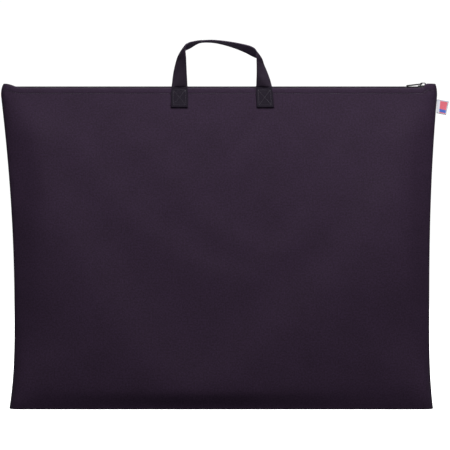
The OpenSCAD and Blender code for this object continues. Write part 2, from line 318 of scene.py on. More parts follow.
def joined(name, parts, material):
    """One object from several solids, each given as rings of points and their places on the cloth.
    One face closes each end of a solid."""
    points, faces, weave = [], [], []
    for rings, places in parts:
        rings = np.asarray(rings, float)
        rows, count = rings.shape[:2]
        start = len(points)
        last = start + (rows - 1) * count
        points.extend(rings.reshape(-1, 3).tolist())
        weave.extend(np.asarray(places, float).reshape(rows * count, -1).tolist())
        faces.extend(ring_faces(rows, count, start))
        faces.append(tuple(range(start, start + count)))
        faces.append(tuple(range(last, last + count)))
    return mesh_object(name, points, faces, weave, material)


def sweep(name, rings, places, material):
    """One closed solid through rings of points."""
    return joined(name, [(rings, places)], material)


def rounded_section(width, thick, corner, across=12):
    """Outline of a flat strap's section as (across, out), its sides rounded over corner times thick."""
    half_w, half_t = width / 2, thick / 2
    inner = half_w - half_t * corner * 2
    flat = np.linspace(-inner, inner, across)
    turn = np.radians(np.linspace(90, -90, 6)[1:-1])
    right = [(inner + (half_w - inner) * math.cos(a), half_t * math.sin(a)) for a in turn]
    top = [(a, half_t) for a in flat]
    low = [(a, -half_t) for a in flat[::-1]]
    left = [(-a, -b) for a, b in right]
    return np.array(top + right + low + left)


def circle(count):
    """Angles of a round section with the given number of points."""
    return np.radians(np.arange(0, 360, 360 / count))


def at_side(points, side):
    """Points of the front, or mirrored to the back when side is 1."""
    points = np.array(points, float)
    points[..., 1] *= -side
    return points


def bend(obj):
    """Bakes obj's placement into its mesh."""
    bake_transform(obj)


def bend_with_wall(obj):
    """Reads a piece's points, then bakes its placement into its mesh."""
    flat = np.zeros(len(obj.data.vertices) * 3)
    obj.data.vertices.foreach_get("co", flat)
    bend(obj)


def stitch_rings(first, last, outward):
    """Rings of one stitch from hole to hole, standing slightly proud of the cloth."""
    along = last - first
    side = np.cross(along / np.linalg.norm(along), outward)
    rings = []
    for t in (0.03, 0.12, 0.3, 0.5, 0.7, 0.88, 0.97):
        swell = math.sin(math.pi * t) ** 0.4
        middle = first + along * t + outward * STITCH_RISE * (swell - 0.35)
        radius = THREAD_R * swell
        rings.append([middle + radius * (math.cos(a) * side + math.sin(a) * outward) for a in circle(6)])
    return rings


def stitch_row(holes, face):
    """Stitches between neighbouring holes in cloth that faces the back (1) or the front (-1), as
    (rings, places on the thread) pairs."""
    parts = []
    for k in range(len(holes) - 1):
        a, b = np.asarray(holes[k]), np.asarray(holes[k + 1])
        clear = (b - a) * STITCH_GAP / 2
        rings = stitch_rings(a + clear, b - clear, np.array([0.0, face, 0.0]))
        rows, count = np.shape(rings)[:2]
        places = [[(k % 50 + i / rows, j / count) for j in range(count)] for i in range(rows)]
        parts.append((rings, places))
    return parts


# -------------------------------- materials

def connect(tree, socket, value):
    """Gives an input a value, or a link where value is the output of a node."""
    if isinstance(value, bpy.types.NodeSocket):
        tree.links.new(value, socket)
    else:
        socket.default_value = value


def add(tree, kind, values=None, **settings):
    """Adds a shader node with its settings, and gives each input a value or a link."""
    made = tree.nodes.new(kind)
    for name, value in settings.items():
        setattr(made, name, value)
    for key, value in (values or {}).items():
        connect(tree, made.inputs[key], value)
    return made


def set_shader(tree, shader, **values):
    """Gives a shader's inputs a value or a link; their names have _ in place of a space."""
    for name, value in values.items():
        connect(tree, shader.inputs[name.replace("_", " ")], value)


def calc(tree, operation, a, b=None):
    """The result of one calculation with a, or with a and b."""
    values = {0: a} if b is None else {0: a, 1: b}
    return add(tree, "ShaderNodeMath", values, operation=operation).outputs[0]


def times(tree, a, b):
    """a times b."""
    return calc(tree, "MULTIPLY", a, b)


def plus(tree, a, b):
    """a plus b."""
    return calc(tree, "ADD", a, b)


def ribs_of(tree, value, factor):
    """Round ribs of height 0 to 1 across value, which is multiplied by factor."""
    return calc(tree, "ABSOLUTE", calc(tree, "SINE", times(tree, value, factor)))


def between(tree, value, low, high):
    """1 where value lies between low and high, 0 elsewhere."""
    above = calc(tree, "GREATER_THAN", value, low)
    return times(tree, above, calc(tree, "LESS_THAN", value, high))


def mixed(tree, share, a, b):
    """A colour between a and b."""
    return add(tree, "ShaderNodeMix", {0: share, 6: a, 7: b}, data_type="RGBA").outputs[2]


def ranged(tree, share, low, high, top=1.0):
    """A value from low to high, for a share from 0 to top."""
    return add(tree, "ShaderNodeMapRange", {0: share, 2: top, 3: low, 4: high}).outputs[0]


def spots(tree, place, scale, detail=2.0, low=0.3, high=0.7):
    """Noise spread to the range 0 to 1."""
    made = add(tree, "ShaderNodeTexNoise", {"Vector": place, "Scale": scale, "Detail": detail})
    return add(tree, "ShaderNodeMapRange", {0: made.outputs[0], 1: low, 2: high}).outputs[0]


def stretched(tree, place, scale):
    """A place scaled differently in each direction."""
    return add(tree, "ShaderNodeMapping", {0: place, 3: scale}).outputs[0]


def new_material(name):
    """A material with its tree, its Principled shader and the place on the cloth in millimetres."""
    material = bpy.data.materials.new(name)
    material.use_nodes = True
    tree = material.node_tree
    place = add(tree, "ShaderNodeAttribute", attribute_name="weave").outputs["Vector"]
    return tree, tree.nodes["Principled BSDF"], place


def rgb(red, green, blue):
    """A colour given in sRGB from 0 to 255."""
    channels = [c / 255 for c in (red, green, blue)]
    linear = [c / 12.92 if c <= 0.04045 else ((c + 0.055) / 1.055) ** 2.4 for c in channels]
    return (*linear, 1)


def plain_weave(tree, place, pitch):
    """Height from 0 to 1 of a plain weave with the given thread pitch in millimetres."""
    parts = add(tree, "ShaderNodeSeparateXYZ", {0: place})
    scaled = [calc(tree, "DIVIDE", parts.outputs[k], pitch) for k in (0, 1)]
    ribs = [ribs_of(tree, s, math.pi) for s in scaled]
    cells = [calc(tree, "FLOOR", s) for s in scaled]
    odd = calc(tree, "PINGPONG", plus(tree, cells[0], cells[1]), 1)
    over = times(tree, ribs[0], odd)
    under = times(tree, ribs[1], calc(tree, "SUBTRACT", 1, odd))
    return plus(tree, over, under)


def bumped(tree, shader, height, strength, distance):
    """Raises the surface by height times distance, in metres."""
    made = add(tree, "ShaderNodeBump", {"Strength": strength, "Distance": distance, "Height": height})
    set_shader(tree, shader, Normal=made.outputs[0])


def nylon_material(name, dark, light, sheen):
    """Coated nylon cloth: plain weave, slubs, fine mottling and slow changes of tone."""
    tree, shader, place = new_material(name)
    lengthwise = stretched(tree, place, (0.06, 1.6, 1.0))
    upright = stretched(tree, place, (1.6, 0.06, 1.0))
    slubs = plus(tree, spots(tree, lengthwise, 1.0), spots(tree, upright, 1.0))
    slow = times(tree, spots(tree, place, 0.02, 3.0, 0.25, 0.75), 0.3)
    mottle = times(tree, calc(tree, "SUBTRACT", spots(tree, place, 0.4, 1.0), 0.5), 0.8)
    share = plus(tree, slow, times(tree, slubs, 0.32))
    colour = mixed(tree, plus(tree, share, mottle), dark, light)
    grain = plus(tree, plain_weave(tree, place, NYLON_PITCH), times(tree, slubs, 0.3))
    bumped(tree, shader, grain, 0.55, 0.00012)
    set_shader(tree, shader, Base_Color=colour, Roughness=ranged(tree, slubs, 0.62, 0.78, top=2.0))
    set_shader(tree, shader, Sheen_Weight=sheen, Sheen_Roughness=0.45, Sheen_Tint=(0.75, 0.66, 0.86, 1))
    set_shader(tree, shader, Specular_IOR_Level=0.14)


def webbing_material(name, dark, light, rib=1.25, column=4.2, inside=None):
    """Woven strap: slanting ribs that turn back at each column of warp. Where inside is given, the inner
    face of the strap is painted paler with that colour: painted light on that face."""
    tree, shader, place = new_material(name)
    parts = add(tree, "ShaderNodeSeparateXYZ", {0: place})
    across, along, painted_light_face = parts.outputs
    zigzag = calc(tree, "PINGPONG", across, column / 2)
    turned = plus(tree, along, times(tree, zigzag, 0.45))
    ribs = ribs_of(tree, turned, math.pi / rib)
    warp = ribs_of(tree, across, math.pi / (column / 2))
    fuzz = spots(tree, place, 0.6, 4.0)
    height = plus(tree, calc(tree, "POWER", ribs, 0.6), times(tree, warp, 0.35))
    share = plus(tree, times(tree, ribs, 0.55), times(tree, fuzz, 0.45))
    colour = mixed(tree, share, dark, light)
    if inside is not None:
        # Painted light: the inner face is painted a paler colour than the rest of the strap.
        colour = mixed(tree, painted_light_face, colour, mixed(tree, share, light, inside))
    bumped(tree, shader, plus(tree, height, times(tree, fuzz, 0.2)), 0.7, 0.0003)
    set_shader(tree, shader, Base_Color=colour, Roughness=ranged(tree, fuzz, 0.5, 0.72))
    set_shader(tree, shader, Sheen_Weight=0.05, Sheen_Roughness=0.4, Sheen_Tint=(0.8, 0.7, 0.9, 1))
    set_shader(tree, shader, Specular_IOR_Level=0.12)


def thread_material(name, dark, light):
    """Twisted sewing thread: slanting plies along each stitch."""
    tree, shader, place = new_material(name)
    parts = add(tree, "ShaderNodeSeparateXYZ", {0: place})
    along = times(tree, parts.outputs[0], 5.0)
    ply = ribs_of(tree, plus(tree, along, parts.outputs[1]), math.pi * 2)
    bumped(tree, shader, ply, 0.6, 0.00012)
    colour = mixed(tree, ply, dark, light)
    set_shader(tree, shader, Base_Color=colour, Roughness=ranged(tree, ply, 0.62, 0.45), Sheen_Weight=0.2)


def coil_material(name):
    """Moulded nylon coil: dark, slightly glossy, with faint draw marks."""
    tree, shader, place = new_material(name)
    marks = spots(tree, place, 2.4, 3.0)
    colour = mixed(tree, marks, rgb(12, 11, 15), rgb(22, 20, 26))
    bumped(tree, shader, marks, 0.25, 0.0001)
    set_shader(tree, shader, Base_Color=colour, Roughness=ranged(tree, marks, 0.28, 0.5))


def metal_material(name):
    """Black lacquered zinc, rubbed through to grey metal on its sharpest edges."""
    tree, shader, _ = new_material(name)
    place = add(tree, "ShaderNodeTexCoord").outputs["Object"]
    pits = spots(tree, place, 900.0, 4.0)
    blotch = spots(tree, place, 240.0, 3.0, 0.4, 0.75)
    pointed = add(tree, "ShaderNodeNewGeometry").outputs["Pointiness"]
    edges = add(tree, "ShaderNodeMapRange", {0: pointed, 1: 0.56, 2: 0.68}).outputs[0]
    worn = times(tree, edges, blotch)
    colour = mixed(tree, worn, mixed(tree, pits, rgb(6, 6, 8), rgb(13, 12, 16)), rgb(84, 82, 86))
    metallic = plus(tree, 0.1, times(tree, worn, 0.7))
    bumped(tree, shader, pits, 0.12, 0.00005)
    set_shader(tree, shader, Base_Color=colour, Metallic=metallic, Coat_Weight=0.25, Coat_Roughness=0.12)
    set_shader(tree, shader, Roughness=ranged(tree, blotch, 0.24, 0.42))


def board_material(name):
    """Extruded plastic board: faint flutes, dull with fine scratches."""
    tree, shader, _ = new_material(name)
    place = add(tree, "ShaderNodeTexCoord").outputs["Object"]
    parts = add(tree, "ShaderNodeSeparateXYZ", {0: place})
    flutes = calc(tree, "SINE", times(tree, parts.outputs[1], 2 * math.pi / FLUTE_PITCH))
    scratches = spots(tree, stretched(tree, place, (12, 900, 900)), 1.0, 4.0)
    colour = mixed(tree, scratches, rgb(44, 44, 47), rgb(62, 62, 66))
    bumped(tree, shader, plus(tree, flutes, times(tree, scratches, 0.4)), 0.25, 0.0002)
    set_shader(tree, shader, Base_Color=colour, Roughness=ranged(tree, scratches, 0.4, 0.6))


def label_material(name):
    """Woven satin label: a white strip by the seam, a coral field, a blue stripe, a white edge and a
    grey rim."""
    tree, shader, place = new_material(name)
    parts = add(tree, "ShaderNodeSeparateXYZ", {0: place})
    out, up = parts.outputs[0], parts.outputs[1]
    aside = calc(tree, "ABSOLUTE", up)
    tall = calc(tree, "LESS_THAN", aside, LABEL_H / 2 - 1.4)
    field = times(tree, between(tree, out, 5.0, LABEL_W - 2.0), tall)
    stripe = between(tree, up, -8.2, -3.4)
    near_end = calc(tree, "GREATER_THAN", out, LABEL_W - 1.4)
    rim = calc(tree, "MAXIMUM", near_end, calc(tree, "GREATER_THAN", aside, LABEL_H / 2 - 0.8))
    weave = plain_weave(tree, place, LABEL_PITCH)
    full = mixed(tree, stripe, rgb(206, 80, 98), rgb(48, 84, 176))
    paler = mixed(tree, stripe, rgb(232, 140, 150), rgb(96, 128, 204))
    dyed = mixed(tree, times(tree, weave, 0.35), full, paler)
    white = mixed(tree, weave, rgb(186, 186, 196), rgb(222, 222, 230))
    colour = mixed(tree, field, mixed(tree, rim, white, rgb(112, 116, 142)), dyed)
    bumped(tree, shader, weave, 0.5, 0.0001)
    rough = ranged(tree, weave, 0.62, 0.42)
    set_shader(tree, shader, Base_Color=colour, Roughness=rough, Sheen_Weight=0.25)


def make_materials():
    """All the materials; two colours are the darkest and the lightest of a cloth or thread."""
    nylon_material("nylon_outside", rgb(37, 24, 40), rgb(50, 35, 56), sheen=0.03)
    nylon_material("nylon_inside", rgb(28, 25, 31), rgb(42, 38, 46), sheen=0.1)
    # The strap's inside colour is painted light on the inner face of the handle.
    webbing_material("strap", rgb(24, 17, 27), rgb(46, 36, 50), inside=rgb(104, 88, 114))
    # The sewn ends use the strap's webbing painted darker than the loop: painted shade.
    webbing_material("strap_sewn_flat", rgb(13, 8, 17), rgb(28, 19, 35))
    webbing_material("zip_tape_cloth", rgb(10, 9, 13), rgb(24, 21, 28), rib=0.5, column=1.4)
    webbing_material("binding_cloth", rgb(18, 16, 20), rgb(36, 33, 40), rib=0.9, column=30)
    thread_material("sewing_thread", rgb(20, 16, 24), rgb(46, 39, 54))
    coil_material("coil_nylon")
    metal_material("black_metal")
    board_material("plastic_board")
    label_material("label_satin")


# -------------------------------- panels and bottom

def panel_columns():
    """Shares of the width, 3 mm apart in the open and very close together where the panel turns in
    to its side seams."""
    even = 1 - (1 - np.linspace(0, 1, 117)) ** 1.12
    turned_in = 1 - (1 - even[-2]) * np.array([0.75, 0.5, 0.28, 0.12, 0.04, 0.01])
    right = np.concatenate([even[:-1], turned_in, [1]])
    return np.concatenate([-right[:0:-1], right])


def panel_rows():
    """Heights up to the roll of the top edge, closer together at the bottom and over the hem."""
    low = np.array([0.9, 2.0, 4.0, 7.0, 11.0])
    open_part = np.linspace(16, CASE_H - 24, 92)
    hem = np.arange(CASE_H - 20.5, CASE_H - 2.4, 0.9)
    return np.concatenate([low, open_part, hem])


def panel_roll(shares, drawn_in):
    """Points over the roll of the top edge and down to the end of its lip, one row after another."""
    top_x = shares * (edge(shares, CASE_H) - CLOTH / 2)
    top_half = half_at(shares * edge(shares, CASE_H), CASE_H) - drawn_in
    lip = np.minimum(top_half - CLOTH - 0.05, np.maximum(MOUTH_HALF, top_half - 5))
    radius = np.minimum(ROLL, 0.8 * (top_half - lip))
    rows = []
    for angle in np.radians([15, 32, 49, 66, 90]):
        y = -(top_half - radius * (1 - math.cos(angle)))
        z = CASE_H - radius * (1 - math.sin(angle))
        rows.append(np.stack([top_x, y, lifted(top_x, z)], -1))
    for share, sag in ((0.4, 0.0), (0.8, 0.05), (0.97, 0.3)):
        y = -(top_half - radius - (top_half - radius - lip) * share)
        rows.append(np.stack([top_x, y, lifted(top_x, CASE_H - sag)], -1))
    return np.stack(rows, 1)


def panel_inside(outer):
    """The inner face of a panel: its outer face moved in by the thickness of the cloth. It stays above
    the floor and on its own side of the middle plane, and is slightly narrower."""
    step = np.gradient(outer, axis=1)
    across = np.stack([np.zeros(step.shape[:2]), step[..., 2], -step[..., 1]], -1)
    across /= np.maximum(1e-9, np.linalg.norm(across, axis=2, keepdims=True))
    inner = outer + across * CLOTH
    inner[:, 0, 2] = PANEL_LOW
    inner[..., 2] = np.maximum(inner[..., 2], PANEL_LOW)
    inner[..., 1] = np.minimum(inner[..., 1], -0.1)
    inner[..., 0] *= 1 - 0.2 / WAIST_W
    return inner


def panel_points(seed):
    """Outer and inner points of the panel as [column, row, xyz], and each outer point's place on the
    cloth."""
    rows = panel_rows()
    shares = panel_columns()
    fold = CLOTH / 2
    seam_x = shares[:, None] * edge(shares[:, None], rows[None, :])
    x = seam_x * (1 - fold / edge(seam_x, rows[None, :]))
    z = np.broadcast_to(rows, x.shape)
    # Both panels are drawn in at their side seams, where they meet
    drawn_in = 0.3 * ramp(0.994, 1, np.abs(shares))
    out = half_at(seam_x, z) + cloth_relief(seam_x, z, seed) - drawn_in[:, None]
    foot = np.stack([x[:, 0], -(out[:, 0] - fold * 0.6), np.full(len(shares), PANEL_LOW)], -1)
    wall = np.stack([x, -out, lifted(x, z)], -1)
    outer = np.concatenate([foot[:, None], wall, panel_roll(shares, drawn_in)], 1)
    lengths = np.linalg.norm(np.diff(outer, axis=1), axis=2)
    run = np.concatenate([np.zeros((len(shares), 1)), np.cumsum(lengths, 1)], 1)
    return outer, panel_inside(outer), np.stack([outer[..., 0], run], -1)


def side_fold(outer, inner, sign):
    """Rings that round the panel's side edge from its outside to its inside."""
    middle = (outer + inner) / 2
    rings = []
    for a in np.radians([45, 90, 135]):
        ring = middle + (outer - middle) * math.cos(a)
        ring[:, 0] = outer[:, 0] + sign * CLOTH / 2 * math.sin(a)
        rings.append(ring)
    return rings


def strip(first, second):
    """Quads between two rows of points."""
    return [(first[k], first[k + 1], second[k + 1], second[k]) for k in range(len(first) - 1)]


def panel(side):
    """One panel: a single sheet turned over at the top, from side seam to side seam."""
    word = FACE[side]
    outer, inner, place = panel_points(SEED[side])
    count = outer.shape[1]
    rings = np.concatenate([outer, inner[:, ::-1]], 1)
    places = np.concatenate([place, place[:, ::-1]], 1)
    columns, length = rings.shape[:2]
    faces = ring_faces(columns, length)
    points = rings.reshape(-1, 3).tolist()
    weave = places.reshape(-1, 2).tolist()
    for column, sign in ((0, -1), (columns - 1, 1)):
        previous = [column * length + k for k in range(count)]
        for ring in side_fold(outer[column], inner[column], sign):
            current = [len(points) + k for k in range(count)]
            points.extend(ring.tolist())
            weave.extend((place[column] + [sign * 1.0, 0]).tolist())
            faces += strip(previous, current)
            previous = current
        faces += strip(previous, [column * length + 2 * count - 1 - k for k in range(count)])
    obj = mesh_object(word + "_panel_cloth", at_side(points, side), faces, weave, "nylon_outside")
    bend_with_wall(obj)
    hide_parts(word + "_panel")


def bottom_cloth():
    """The strip of cloth that the case stands on, with soft edges where it is sewn to the panels."""
    shares = np.sin(np.radians(np.linspace(-90, 90, 61)))
    xs = shares * (edge(shares, 0) - CLOTH)
    half = half_at(xs, 0) - CLOTH - 0.3
    section = rounded_section(2, CLOTH, 0.02, across=9)
    rings, places = [], []
    for x, h in zip(xs, half):
        rings.append([[x, a * h, CLOTH / 2 + b] for a, b in section])
        places.append([[x, a * h] for a, b in section])
    obj = sweep("bottom_cloth", rings, places, "nylon_outside")
    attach(obj, "case")
    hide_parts("bottom_panel")


def ripple(z):
    """How far the seam binding sways from the middle plane at height z."""
    return 0.25 * math.sin(z / 17) + 0.15 * math.sin(z / 6.1)


def seam_binding(side):
    """Seam allowance inside a side seam, wrapped in binding tape and sewn through."""
    word = HAND[side] + "_seam_binding"
    width, thick, from_seam, pitch = 10, 2.4, 8, 3.6
    section = rounded_section(width, thick, 0.5)
    rings, places = [], []
    for z in np.linspace(12, CASE_H - 20, 60):
        middle = side * (edge(side, z) - from_seam)
        rings.append([[middle + a, b + ripple(z), z] for a, b in section])
        places.append([[a, z] for a, b in section])
    obj = sweep(word + "_tape", rings, places, "binding_cloth")
    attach(obj, "case")
    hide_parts(word)
    parts = []
    for face in (-1, 1):
        heights = np.arange(14, CASE_H - 22, pitch)
        row_in = from_seam + 2.2
        holes = [[side * (edge(side, z) - row_in), ripple(z) + face * thick / 2, z] for z in heights]
        parts += stitch_row(holes, face)
    rows = joined(word + "_stitches", parts, "sewing_thread")
    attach(rows, "case")


# -------------------------------- stitching

def on_panel(x, z, raised, seed):
    """Point on the outside of the front panel, raised from it."""
    seam_x = x * (1 + CLOTH / 2 / float(edge(x, z)))
    return [x, -(half_at(seam_x, z) + cloth_relief(seam_x, z, seed) + raised), lifted(x, z)]


def topstitch(side):
    """The row of stitches below the top edge, broken at the sewn ends of the handle."""
    z = CASE_H - HEM
    clear = WEB_W / 2 + 0.4
    from_seam = 2.5
    pitch = 3.3
    parts = []
    runs = [
        (-float(edge(-1, z)) + from_seam, -LEG_X - clear),
        (-LEG_X + clear, LEG_X - clear),
        (LEG_X + clear, float(edge(1, z)) - from_seam),
    ]
    for start, end in runs:
        xs = np.linspace(start, end, int((end - start) / pitch) + 1)
        holes = at_side([on_panel(x, z, 0.12, SEED[side]) for x in xs], side)
        parts += stitch_row(holes, side)
    word = FACE[side]
    obj = joined(word + "_topstitches", parts, "sewing_thread")
    bend_with_wall(obj)
    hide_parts(word + "_topstitch")


def anchor_stitches(side):
    """A box of stitches with a cross in it on each sewn end."""
    pitch = 2.6
    half_w = WEB_W / 2 - 3
    top, low = CASE_H - 4, CASE_H - SEWN_L + 4
    corners = [(-half_w, low), (-half_w, top), (half_w, top), (half_w, low), (-half_w, low), (half_w, top)]
    lines = list(zip(corners[:-1], corners[1:])) + [((-half_w, top), (half_w, low))]
    parts = []
    for leg in (-1, 1):
        for start, end in lines:
            count = max(2, round(math.dist(start, end) / pitch))
            holes = []
            for x, z in np.linspace(start, end, count + 1):
                x += leg * LEG_X + float(sewn_end_shift(leg, z))
                holes.append([x, -(float(half_at(leg * LEG_X, z)) + WEB_T - 0.1), z])
            parts += stitch_row(at_side(holes, side), side)
    word = FACE[side]
    obj = joined(word + "_anchor_stitches", parts, "sewing_thread")
    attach(obj, word + "_wall")
    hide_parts(word + "_anchor_stitching")


# -------------------------------- handles

def strap_section():
    """Section of the webbing: slightly thicker along both edges, with rounded sides."""
    section = rounded_section(WEB_W, WEB_T, 0.5, across=18)
    section[:, 1] *= 0.86 + 0.14 * ramp(WEB_W / 2 - 4.5, WEB_W / 2 - 2, np.abs(section[:, 0]))
    return section


def sewn_end_shift(leg, z):
    """The right sewn end is slightly askew."""
    return (ASKEW if leg > 0 else 0) * ramp(CASE_H - 1, CASE_H - SEWN_L, z)


def anchor(side, leg):
    """A sewn end of the webbing: pressed slightly wider, thicker where its end is turned under."""
    word = FACE[side] + "_" + HAND[leg]
    section = strap_section()
    top, low = HINGE_Z, CASE_H - SEWN_L
    zs = np.concatenate([[low, low + 0.25, low + 0.8, low + 1.6], np.linspace(low + 3, top, 26)])
    shrink = np.concatenate([[0.35, 0.72, 0.93, 1.0], np.ones(26)])
    rings, places = [], []
    for z, thin in zip(zs, shrink):
        slope = float(half_at(leg * LEG_X, min(z, CASE_H)))
        lift = 0.15 + WEB_T / 2 * (1 + 0.12 * float(ramp(low + 9, low + 7, z)))
        blend_y = float(ramp(CASE_H - 8, HINGE_Z, z))
        middle_y = -(slope + lift) * (1 - blend_y) - (LEG_Y + WEB_T / 2) * blend_y
        wider = 1 + 0.075 * float(ramp(CASE_H - 1, CASE_H - 9, z))
        middle_x = leg * LEG_X + float(sewn_end_shift(leg, z))
        rings.append([[middle_x + a * wider, middle_y - b * thin, z] for a, b in section])
        places.append([[a, z - HINGE_Z, 0] for a, b in section])
    # The sewn end is drawn in the strap's webbing painted darker, as painted shade.
    obj = sweep(word + "_sewn_end", at_side(rings, side), places, "strap_sewn_flat")
    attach(obj, FACE[side] + "_wall")
    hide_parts(word + "_anchor")


# Edges of the handle's webbing, from leg to leg: [x, y, share of the height]
FOOT_IN = LEG_X - WEB_W / 2
FOOT_OUT = LEG_X + WEB_W / 2
FRONT_EDGE = [
    (-FOOT_IN, 0, 0), (-55.5, -5.5, 0.33), (-56.5, -9.5, 0.62), (-57.5, -9, 0.88), (-52, -10, 0.945),
    (-45.5, -12, 0.97), (-32.5, -13, 0.99), (-15, -13.5, 1), (4, -13.5, 0.98), (22, -13, 0.945),
    (38, -12, 0.9), (47.5, -11, 0.86), (53, -10.5, 0.8), (54.5, -9, 0.665), (55, -8, 0.56),
    (55, -6, 0.315), (FOOT_IN, 0, 0),
]
REAR_EDGE = [
    (-FOOT_OUT, 0, 0), (-77, 6, 0.3), (-73.2, 8.5, 0.535), (-68.8, 8.5, 0.685), (-61.5, 9.5, 0.775),
    (-51, 11, 0.85), (-35, 12, 0.97), (-16, 12, 0.98), (3, 12, 0.93), (22.5, 11.5, 0.845),
    (37, 11, 0.76), (48, 10.5, 0.68), (57, 11, 0.625), (63.5, 11, 0.545), (69, 10.5, 0.425),
    (75, 6.5, 0.22), (FOOT_OUT, 0, 0),
]


def curve(points, t):
    """Smooth curve through the points, at each t from 0 to the index of the last one."""
    points, t = np.asarray(points, float), np.asarray(t, float)
    last = len(points) - 1
    i = np.minimum(last - 1, np.floor(t).astype(int))
    s = (t - i)[:, None]
    a, b, c, d = (points[np.clip(i + k, 0, last)] for k in (-1, 0, 1, 2))
    return b + s * ((c - a) / 2 + s * ((2 * a - 5 * b + 4 * c - d) / 2 + s * (3 * b - a - 3 * c + d) / 2))


def handle_edge(points, t):
    """An edge of the upright handle in millimetres."""
    place = curve(points, t)
    return place * (1, 1, ARCH_H) + (0, -LEG_Y - WEB_T / 2, HINGE_Z)


def bow_angle(share):
    """Half the angle of an arc whose chord is the given share of its length, found by halving."""
    low, high = 0.001, 1.6
    for _ in range(40):
        middle = (low + high) / 2
        low, high = (middle, high) if math.sin(middle) / middle > share else (low, middle)
    return low


def handle(side):
    """The handle loop: twisted webbing that bends where it leaves the panel."""
    word = FACE[side]
    fall = (0 if side < 0 else BACK_FALL) + LEAN
    section = strap_section()
    spans = len(FRONT_EDGE) - 1
    ts = np.linspace(0, spans, spans * 18 + 1)
    front, rear = handle_edge(FRONT_EDGE, ts), handle_edge(REAR_EDGE, ts)
    line = (front + rear) / 2
    run = np.concatenate([[0], np.cumsum(np.linalg.norm(np.diff(line, axis=0), axis=1))])
    along = np.gradient(line, axis=0)
    rings, places, weights = [], [], []
    for a, b, forward, s in zip(front, rear, along, run):
        length = np.linalg.norm(a - b)
        across = (a - b) / length
        outward = np.cross(across, forward / np.linalg.norm(forward))
        outward /= np.linalg.norm(outward)
        half = bow_angle(min(FLATTEST, length / WEB_W))
        radius = WEB_W / 2 / half
        turn = section[:, :1] / radius
        sideways = (radius + section[:, 1:]) * np.sin(turn)
        raised = (radius + section[:, 1:]) * np.cos(turn) - radius * math.cos(half)
        ring = (a + b) / 2 + sideways * across + raised * outward
        weight = float(ramp(0, BEND_L, min(s, run[-1] - s)))
        angle = math.radians(fall) * weight
        y, z = ring[:, 1] + HINGE_Y, ring[:, 2] - HINGE_Z
        ring[:, 1] = -HINGE_Y + y * math.cos(angle) - z * math.sin(angle)
        ring[:, 2] = HINGE_Z + y * math.sin(angle) + z * math.cos(angle)
        rings.append(ring)
        # The third place marks the inner face, which the strap material paints paler as painted light.
        places.append([[place, s, 1 if out < -WEB_T * 0.15 else 0] for place, out in section])
        weights.append([weight] * len(section))
    obj = sweep(word + "_handle_strap", at_side(rings, side), places, "strap")
    bend(obj)
    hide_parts(word + "_handle")


def backing_patches(side):
    """Two patches of cloth inside the panel, behind the sewn ends."""
    width, height = WEB_W + 10, SEWN_L + 6
    top = CASE_H - 3
    section = rounded_section(2, 0.8, 0.02, across=9)
    parts = []
    for leg in (-1, 1):
        rings, places = [], []
        for z in np.linspace(top - height, top, 14):
            ring = []
            for a, b in section:
                x = leg * LEG_X + a * width / 2
                ring.append([x, -(float(half_at(x, z)) - CLOTH - 0.5) - b, z])
            rings.append(ring)
            places.append([[a * width / 2, z] for a, b in section])
        parts.append((at_side(rings, side), places))
    word = FACE[side]
    obj = joined(word + "_patches", parts, "nylon_inside")
    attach(obj, word + "_wall")
    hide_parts(word + "_backing_patches")


# -------------------------------- zip

def zip_tape(side):
    """Woven tape from under the panel's lip, bent up to the coil, with a ridge along its inner edge."""
    low = CASE_H + TAPE_LOW + TAPE_T / 2
    shares = np.linspace(-0.99, 0.99, 221)
    xs = shares * (edge(shares, CASE_H + TAPE_LOW) - 0.5)
    near = COIL_GAP + COIL_SPREAD - 0.1
    rings, places = [], []
    for x in xs:
        far = float(half_at(x, CASE_H + TAPE_LOW)) - CLOTH - 0.3
        knee, foot = min(TAPE_KNEE, far - 0.2), min(TAPE_FOOT, far - 0.1)
        width = max(0.5, far - near)
        ring, place = [], []
        for a, b in rounded_section(width, TAPE_T, min(0.5, width / 4), across=17):
            out = (far + near) / 2 + a
            ridge = 0.12 * math.exp(-(((a + width / 2 - 1.2) / 0.5) ** 2)) * (1 if b > 0 else 0)
            ring.append([x, -out, low + b + ridge + ZIP_RISE * float(ramp(foot, knee, out))])
            place.append([out, x])
        rings.append(ring)
        places.append(place)
    word = FACE[side]
    obj = sweep(word + "_tape_cloth", at_side(rings, side), places, "zip_tape_cloth")
    bend_with_wall(obj)
    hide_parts(word + "_zipper_tape")


def zip_coil(side):
    """One row of coil: a flattened spiral of nylon whose loops reach between those of the other row."""
    pitch, wire, reach = 1.5, 0.36, 0.45
    steps = 12
    count = int((COIL_RIGHT - COIL_LEFT) / pitch * steps)
    t = np.arange(count + 1) / steps
    x = COIL_LEFT + pitch * t + (0 if side < 0 else pitch / 2)
    angle = 2 * math.pi * t
    inner = -COIL_GAP - spread(x) + reach
    outer = -COIL_GAP - COIL_W - spread(x)
    middle, half = (inner + outer) / 2, (inner - outer) / 2 - wire
    high = COIL_H / 2 - wire
    line = np.stack([x, middle + half * np.cos(angle), COIL_MID + high * np.sin(angle)], -1)
    along = np.gradient(line, axis=0)
    along /= np.linalg.norm(along, axis=1, keepdims=True)
    lengthwise = np.array([1.0, 0, 0]) - along * along[:, :1]
    lengthwise /= np.linalg.norm(lengthwise, axis=1, keepdims=True)
    outward = np.cross(along, lengthwise)
    rings = [line + wire * (math.cos(a) * lengthwise + math.sin(a) * outward) for a in circle(5)]
    rings = np.stack(rings, 1)
    places = np.stack([np.stack([t * 6, np.full(len(t), k * 0.5)], -1) for k in range(5)], 1)
    word = FACE[side]
    obj = sweep(word + "_coil_spiral", at_side(rings, side), places, "coil_nylon")
    bend_with_wall(obj)
    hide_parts(word + "_zipper_coil")
    coil_core(side, middle, half)


